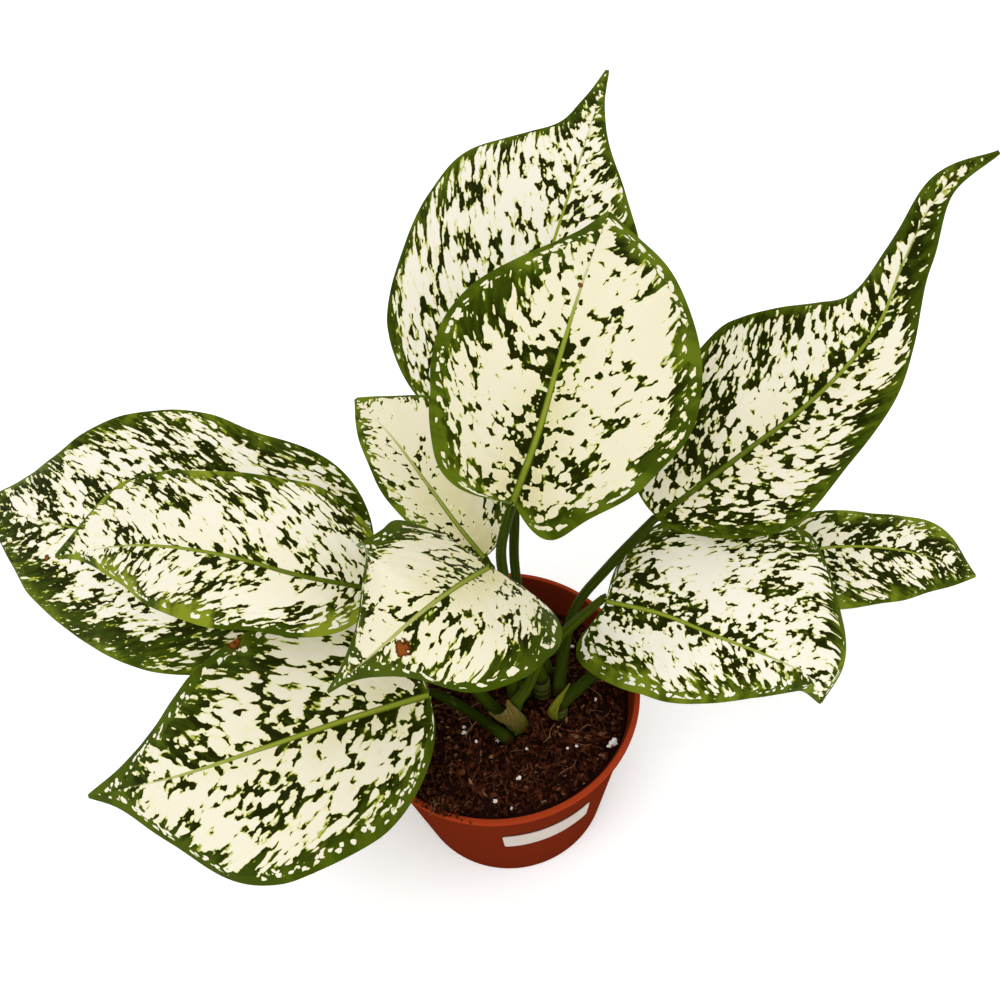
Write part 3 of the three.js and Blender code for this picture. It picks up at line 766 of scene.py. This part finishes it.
def petioleFoot(leaf):
    x, y = canes[leaf["cane"]]["at"]
    if "side" not in leaf:
        return Vector((x, y, canes[leaf["cane"]]["top"] + petioleShape["clear"]))
    outX, outY = polar(petioleShape["caneReach"] + petioleShape["footRadius"], math.radians(leaf["side"]))
    return Vector((x + outX, y + outY, leaf["foot"]))


def soilHeight(x, y):
    swell = math.sin(x * 0.11 + 1) * math.cos(y * 0.13) + 0.6 * math.sin(x * 0.23 - y * 0.19)
    return soil["level"] - soil["rise"] * y + soil["bumps"] * swell


def soilInside(z):
    return wallRadius(z) - pot["wall"] - soil["clear"]


def makeSoilBody():
    bottom, rings = soil["bottom"], soil["rings"]
    body = sheetOfFaces("potting_mix", soil["around"], rings + 2)
    for vertex in body.data.vertices:
        row = round((vertex.co.y + 1) / 2 * (rings + 2))
        c, s = polar(1, math.pi * vertex.co.x)
        if row < 2:
            vertex.co = Vector((soilInside(bottom) * c * row, soilInside(bottom) * s * row, bottom)) * mm
            continue
        share = 1 - (row - 2) / rings
        edge = soilInside(soilHeight(soil["edge"] * c, soil["edge"] * s) - 2)
        x, y = edge * share * c, edge * share * s
        lump = noise.fractal(noisePlace(x, y, soil["lumpLength"], 2), 1, 2, 3) * soil["lump"]
        fine = noise.noise(noisePlace(x, y, soil["grainLength"], 5)) * soil["grain"]
        vertex.co = Vector((x, y, soilHeight(x, y) + lump + fine)) * mm
    seal(body)
    holes = [(*cane["at"], soil["holeRadius"], soil["holeBottom"], pot["height"]) for cane in canes.values()]
    cutHoles(body, holes, pot["holeSides"])
    return body


def chipTemplates(draw, count, rounds):
    # small irregular lumps, about one unit across
    made = []
    for _ in range(count):
        bpy.ops.mesh.primitive_ico_sphere_add(subdivisions=rounds, radius=0.5)
        chip = bpy.context.object
        for vertex in chip.data.vertices:
            vertex.co *= draw.uniform(0.6, 1.25)
        made.append(chip)
    return made


def fibreTemplates(draw, count):
    # thin bent strands, one unit long
    made = []
    for _ in range(count):
        strand = sheetOfFaces("strand", 5, 7)
        sway = [draw.uniform(-0.18, 0.18) for _ in range(3)]
        path = Curve([(-0.5, 0, 0), (-0.2, sway[0], 0.1), (0.15, sway[1], 0.06), (0.5, sway[2], 0)])
        for vertex in strand.data.vertices:
            end = 1 - abs(vertex.co.y) ** 6
            lean = Vector((0, *polar(1, math.pi * vertex.co.x))) * litter["fibreRadius"] * (0.3 + 0.7 * end)
            vertex.co = path.place((vertex.co.y + 1) / 2) + lean
        seal(strand, openEnds=True)
        made.append(strand)
    return made


def strew(template, place, turn, scale, tint):
    # a copy of a template with its own mesh, laid down at a place
    mesh = template.data.copy()
    mesh.transform(Matrix.Translation(place * mm) @ turn.to_4x4() @ Matrix.Diagonal((*(s * mm for s in scale), 1)))
    markPoints(mesh, "tint", [tint] * len(mesh.vertices))
    copy = bpy.data.objects.new("grain", mesh)
    bpy.context.collection.objects.link(copy)
    return copy


def makeSoil():
    draw = random.Random(4)
    body = makeSoilBody()
    chips = chipTemplates(draw, 9, 1)
    lumps = chipTemplates(draw, 4, 2)
    strands = fibreTemplates(draw, 6)
    stalkFeet = [petioleFoot(leaf) for leaf in leaves.values()]
    feet = [(foot.x, foot.y, litter["stalk"]) for foot in stalkFeet if foot.z < litter["buried"]]
    feet += [(*cane["at"], litter["cane"]) for cane in canes.values()]
    parts = [body]

    def clearOf(x, y):
        # distance to the nearest stem standing in the mix
        return min(math.hypot(x - a, y - b) - reach for a, b, reach in feet)

    def layChip(x, y, z, size):
        scale = (size, size * draw.uniform(*litter["chipWidth"]), size * draw.uniform(*litter["chipDepth"]))
        tilt = Euler((draw.uniform(-0.6, 0.6), draw.uniform(-0.6, 0.6), draw.uniform(0, 6.28))).to_matrix()
        tint = draw.uniform(0, 0.7) if draw.random() < 0.94 else draw.uniform(0.7, 0.88)
        parts.append(strew(draw.choice(chips), Vector((x, y, z)), tilt, scale, tint))

    def layFibre(x, y, z, size):
        tilt = Euler((draw.uniform(-3, 3), draw.uniform(-0.25, 0.25), draw.uniform(0, 6.28))).to_matrix()
        parts.append(strew(draw.choice(strands), Vector((x, y, z)), tilt, (size,) * 3, draw.uniform(0.6, 0.9)))

    def anySpot(reach):
        turn = draw.uniform(0, 2 * math.pi)
        return polar(reach * math.sqrt(draw.random()), turn)

    while len(parts) <= litter["chips"]:
        x, y = anySpot(litter["chipReach"])
        size = draw.triangular(*litter["chipSize"])
        free = clearOf(x, y)
        if math.hypot(x, y) < litter["chipReach"] - size / 2 and free > size * 0.3:
            bank = litter["bank"] * math.exp(-((free / litter["bankReach"]) ** 2))
            layChip(x, y, soilHeight(x, y) + bank + draw.uniform(0.2, 1.8), size)
    for _ in range(litter["fibres"]):
        x, y = anySpot(litter["fibreReach"])
        size = draw.triangular(*litter["fibreSize"])
        if clearOf(x, y) > size / 2:
            layFibre(x, y, soilHeight(x, y) + draw.uniform(1.2, 2.6), size)
    for k in range(spill["chips"] + spill["fibres"]):
        turn = math.radians(draw.gauss(spill["bearing"], spill["spread"]))
        share = draw.random()
        x, y = polar(between(spill["inner"], spill["outer"], share), turn)
        z = between(soilHeight(x, y) + 1, spill["top"], min(share * 1.4, 1))
        if k < spill["chips"]:
            layChip(x, y, z, draw.triangular(*spill["chipSize"]))
        else:
            layFibre(x, y, z + 0.5, draw.uniform(*spill["fibreSize"]))
    for x, y, size in grains:
        tilt = Euler((draw.uniform(-3, 3), draw.uniform(-3, 3), 0)).to_matrix()
        place = Vector((x, y, soilHeight(x, y) + 1.2 + size * 0.25))
        parts.append(strew(draw.choice(lumps), place, tilt, (size, size * 0.85, size * 0.75), 1.0))
    for template in chips + lumps + strands:
        bpy.data.objects.remove(template)
    finishPiece(joined(parts), soilPaint(), "soil", "soil", angle=35)


def soilPaint():
    # dark mix with paler bark and fibres, and white perlite where the tint is above 0.93
    paint = Paint("potting mix")
    place, tint = paint.objectPlace(), paint.attribute("tint")
    crumb = paint.noise(place, 900, detail=4.0, roughness=0.7)
    cloud = paint.noise(place, 120, detail=3.0)
    mixed = tint + (cloud - 0.5) * 0.5 + (crumb - 0.5) * 0.25
    stops = [(stop, hexColor(code)) for stop, code in soilStops]
    color = paint.ramp(paint.math("MINIMUM", mixed, 0.9), stops)
    color = paint.mix(paint.step(tint, 0.93, 0.96), color, perliteColor)
    return paint.coat(color, 0.8 - 0.4 * crumb, 0.03, crumb, 0.0006, 0.7)


makeSoil()
print("soil made")

# Label: a blank paper strip bent round the wall
label = dict(
    width=49, height=20, turn=-74, middle=69, lift=0.8, thickness=0.4, corner=1.5,
    columns=48, rows=20, crease=0.12, creaseLength=9,
)
labelColors = palette(dark="c0b5aa", light="cec3b8")


def makeLabel():
    strip = sheetOfFaces("label_strip", label["columns"], label["rows"])
    tall, corner = label["height"] / 2, label["corner"]
    for vertex in strip.data.vertices:
        y = vertex.co.y * tall
        over = max(abs(y) - (tall - corner), 0)
        x = vertex.co.x * (label["width"] / 2 - corner + math.sqrt(corner * corner - over * over))
        z = label["middle"] + y
        crease = noise.noise(noisePlace(x, y, label["creaseLength"], 1)) * label["crease"]
        r = wallRadius(z) + label["lift"] + crease
        turn = math.radians(label["turn"]) + x / wallRadius(label["middle"])
        vertex.co = Vector((*polar(r, turn), z)) * mm
    apply(strip, "SOLIDIFY", thickness=label["thickness"] * mm, offset=-1)
    finishPiece(strip, labelPaint(), "label", "label")


def labelPaint():
    paint = Paint("label paper")
    place = paint.objectPlace()
    pulp = paint.noise(place, 700, detail=3.0)
    color = paint.mix(paint.noise(place, 60), labelColors.dark, labelColors.light)
    return paint.coat(color, 0.6 + 0.1 * pulp, 0.1, pulp, 0.0002, 0.4)


makeLabel()
print("label made")

# Canes: short upright stems with a swollen ring at each old leaf scar
caneShape = dict(
    radius=4.8, foot=72, plainTo=84, scarSwell=0.4, scarFrom=94, scarSpacing=5, scarClear=3,
    around=40, knots=0.25,
)
caneColors = palette(dark="2c3c0c", light="56621e", ring="847440")


def makeCane(name, cane, material):
    radius, foot, top = caneShape["radius"], caneShape["foot"], cane["top"]
    profile = [(0, foot), (radius, foot), (radius, caneShape["plainTo"])]
    z = caneShape["scarFrom"]
    while z < top - caneShape["scarClear"]:
        swell = radius + caneShape["scarSwell"]
        profile += [(radius, z - 1.4), (swell - 0.2, z - 0.6), (swell, z), (swell - 0.3, z + 0.4), (radius, z + 1.2)]
        z += caneShape["scarSpacing"]
    profile += [(radius, top - 1.2), (radius - 0.3, top - 0.4), (radius - 1, top), (0, top)]
    stem = turned("stem_" + name, profile, caneShape["around"], cane["at"])
    for vertex in stem.data.vertices:
        x, y, z = vertex.co / mm
        out = Vector((x - cane["at"][0], y - cane["at"][1], 0))
        knot = noise.noise(Vector((x / 3, y / 3, z / 5))) * caneShape["knots"]
        vertex.co += out.normalized() * (knot - caneShape["knots"]) * mm
    finishPiece(stem, material, "cane", "cane_" + name, angle=60)


def canePaint():
    paint = Paint("cane")
    place = paint.objectPlace()
    z = paint.split(place)[2] / mm
    cloud = paint.noise(place, 260, detail=3.0)
    ring = paint.math("PINGPONG", (z - caneShape["scarFrom"]) / caneShape["scarSpacing"], 0.5)
    color = paint.mix(cloud, caneColors.dark, caneColors.light)
    color = paint.mix(paint.step(ring + (cloud - 0.5) * 0.1, 0.06, 0.16, 0.6, 0.0), color, caneColors.ring)
    return paint.coat(color, 0.5 + 0.2 * cloud, 0.1, cloud, 0.0004, 0.5)


stemPaint = canePaint()
for caneName, cane in canes.items():
    makeCane(caneName, cane, stemPaint)
print("canes made")

# Old sheaths: thin pointed shells round a cane, ragged at the tip. left and right are half widths in degrees
# from bottom to tip, hook is how far a wide edge stands off, and lean is how far the tip leans.
sheathShape = dict(
    radius=6.3, thickness=0.6, flare=2.5, hookAt=100, rows=60, columns=40, ragged=0.1,
    pleat=0.25,
)
sheaths = {
    "tan": dict(
        cane="front_left", bearing=290, left=(24, 24, 25, 30, 60, 100, 50, 20, 4),
        right=(55, 54, 50, 45, 38, 30, 20, 10, 4), hook=4.5, bottom=101, top=129, lean=(-5, 8),
        dark="5a4c18", pale="7c6a38", foot="4c520a",
    ),
    "olive": dict(
        cane="front_right", bearing=230, left=(32, 32, 30, 26, 22, 17, 12, 7, 3),
        right=(32, 32, 30, 26, 22, 17, 12, 7, 3), hook=0, bottom=104.5, top=120, lean=(13, 13),
        dark="54560c", pale="85861e", foot="6a6c12",
    ),
}


def makeSheath(name, sheath):
    x, y = canes[sheath["cane"]]["at"]
    shell = sheetOfFaces("old_sheath_" + name, sheathShape["columns"], sheathShape["rows"])
    lie = shell.data.attributes.new("lie", "FLOAT_VECTOR", "POINT")
    for spot, vertex in enumerate(shell.data.vertices):
        t = (vertex.co.y + 1) / 2
        offset = between(-along(sheath["left"], t), along(sheath["right"], t), (vertex.co.x + 1) / 2)
        turn = math.radians(sheath["bearing"] + offset)
        r = sheathShape["radius"] + sheathShape["flare"] * t * t
        r += sheath["hook"] * (offset / sheathShape["hookAt"]) ** 2
        r += noise.noise(Vector((offset / 9, t * 2, 3))) * sheathShape["pleat"]
        fray = noise.noise(Vector((offset / 12, t * 2, 7))) * sheathShape["ragged"] * t
        z = between(sheath["bottom"], sheath["top"], t * (1 - abs(fray)))
        leanX, leanY = (amount * t ** 3 for amount in sheath["lean"])
        vertex.co = Vector((x + leanX + r * math.cos(turn), y + leanY + r * math.sin(turn), z)) * mm
        lie.data[spot].vector = (math.radians(offset) * r, t * (sheath["top"] - sheath["bottom"]), t)
    apply(shell, "SOLIDIFY", thickness=sheathShape["thickness"] * mm, offset=-1)
    finishPiece(shell, sheathPaint(name, sheath), "sheath_" + name, "sheath_" + name, angle=60)


def sheathPaint(name, sheath):
    paint = Paint("sheath " + name)
    dark, pale, foot = (hexColor(sheath[key]) for key in ("dark", "pale", "foot"))
    across, distance, t = paint.split(paint.attribute("lie", "Vector"))
    rib = paint.noise(paint.join(across / 0.6, distance / 14, 0.0))
    blotch = paint.noise(paint.join(across / 4, distance / 6, 5.0))
    color = paint.mix(paint.step(rib, 0.3, 0.7), dark, pale)
    color = paint.mix(paint.step(blotch, 0.55, 0.75, 0.0, 0.6), color, dark)
    color = paint.mix(paint.step(t + (blotch - 0.5) * 0.6, 0.1, 0.6, 1.0, 0.0), color, foot)
    return paint.coat(color, 0.6 + 0.2 * rib, 0.1, rib, 0.0005, 0.6)


for sheathName, sheath in sheaths.items():
    makeSheath(sheathName, sheath)
print("sheaths made")

# Petioles: stalks from their cane to the blade, some darker than others: partly their own tone, partly painted shade
# on the stalks that lie in shadow
stalkToneAndShade = {"left_low": 0.0, "far_right": 0.1, "right_low": 0.8, "left_back": 0.3, "centre_back": 0.6}
stalkColors = palette(
    deep="1c2600", dark="323e06", light="4a5a10", foot="4c5c18", stain="2c1a0a", blotch="6f8430",
)


def petioleCurve(leaf):
    spine = Curve(leaf["spine"])
    ahead = spine.ahead(0)
    side = Vector(leaf["face"]).cross(ahead).normalized()
    end = spine.place(0) - ahead * petioleShape["short"] - ahead.cross(side) * petioleShape["drop"]
    return Curve([petioleFoot(leaf), *leaf["stalk"], end - ahead * petioleShape["lead"], end])


def makePetiole(name, leaf, material):
    curve = petioleCurve(leaf)
    stalk = sheetOfFaces("stalk_" + name, petioleShape["around"], petioleShape["rows"])
    radii = [petioleShape[key] for key in ("footRadius", "middleRadius", "middleRadius", "topRadius")]
    # tone: how dark the stalk is painted, partly painted shade for the stalks in shadow
    markPoints(stalk.data, "tone", [stalkToneAndShade.get(name, 0.5)] * len(stalk.data.vertices))
    lie = stalk.data.attributes.new("lie", "FLOAT_VECTOR", "POINT")
    for spot, vertex in enumerate(stalk.data.vertices):
        turn = math.pi * vertex.co.x
        t = (vertex.co.y + 1) / 2
        heading = Vector((0, 0, 1)) if t < 1e-4 else curve.ahead(t)
        across = Vector((0.3, -1, 0.1)).cross(heading).normalized()
        other = heading.cross(across)
        radius = along(radii, t)
        point = curve.place(t) + (across * math.cos(turn) + other * math.sin(turn)) * radius
        vertex.co = point * mm
        lie.data[spot].vector = (turn * radius, t * curve.length, t)
    seal(stalk, openEnds=True)
    finishPiece(stalk, material, "petiole", "petiole_" + name, angle=60)


def petiolePaint():
    paint = Paint("petiole")
    across, distance, t = paint.split(paint.attribute("lie", "Vector"))
    streak = paint.noise(paint.join(across / 1.2, distance / 40, 0.0), detail=3.0)
    blotch = paint.noise(paint.join(across / 6, distance / 18, 3.0))
    color = paint.mix(paint.step(streak, 0.3, 0.7), stalkColors.dark, stalkColors.light)
    # darker stalks mixed towards deep green: partly their own tone, partly painted shade
    color = paint.mix(paint.attribute("tone"), stalkColors.deep, color)
    color = paint.mix(paint.step(t, 0.0, 0.3, 0.3, 0.0), color, stalkColors.foot)
    # darker brown at the very foot of each stalk
    color = paint.mix(paint.step(distance + blotch * 3, 2.5, 5.0, 0.85, 0.0), color, stalkColors.stain)
    color = paint.mix(paint.step(blotch, 0.62, 0.72, 0.0, 0.25), color, stalkColors.blotch)
    return paint.coat(color, 0.3 + 0.15 * streak, 0.02, streak, 0.0004, 0.5)


stalkPaint = petiolePaint()
for leafName, leafShape in leaves.items():
    makePetiole(leafName, leafShape, stalkPaint)
print("petioles made")

# Floor and light: a plain pale floor under soft, even light
studio = dict(floor=8.0, floorColor="fafafa", glow=0.28, sky=0.76)
suns = {
    "key": dict(place=(-0.5, -0.7, 1.6), strength=0.85, softness=30),
    "fill": dict(place=(0.8, 0.2, 1.2), strength=0.35, softness=60),
}


def addStudio():
    pick()
    bpy.ops.mesh.primitive_plane_add(size=studio["floor"])
    floor = bpy.context.object
    floor.name = "floor"
    paint = Paint("floor")
    white = hexColor(studio["floorColor"])
    paint.finish(Base_Color=white, Roughness=0.9, Emission_Color=white, Emission_Strength=studio["glow"])
    paint.material.cycles.emission_sampling = "NONE"
    floor.data.materials.append(paint.material)
    world = bpy.data.worlds.new("soft sky")
    bpy.context.scene.world = world
    world.use_nodes = True
    world.node_tree.nodes["Background"].inputs["Color"].default_value = (1, 1, 1, 1)
    world.node_tree.nodes["Background"].inputs["Strength"].default_value = studio["sky"]
    for name, sun in suns.items():
        bpy.ops.object.light_add(type="SUN", location=sun["place"])
        light = bpy.context.object
        light.name = name
        light.data.energy = sun["strength"]
        light.data.angle = math.radians(sun["softness"])
        light.rotation_euler = Vector(sun["place"]).to_track_quat("Z", "Y").to_euler()


addStudio()
bpy.context.scene.view_settings.view_transform = "Standard"
print("studio made")
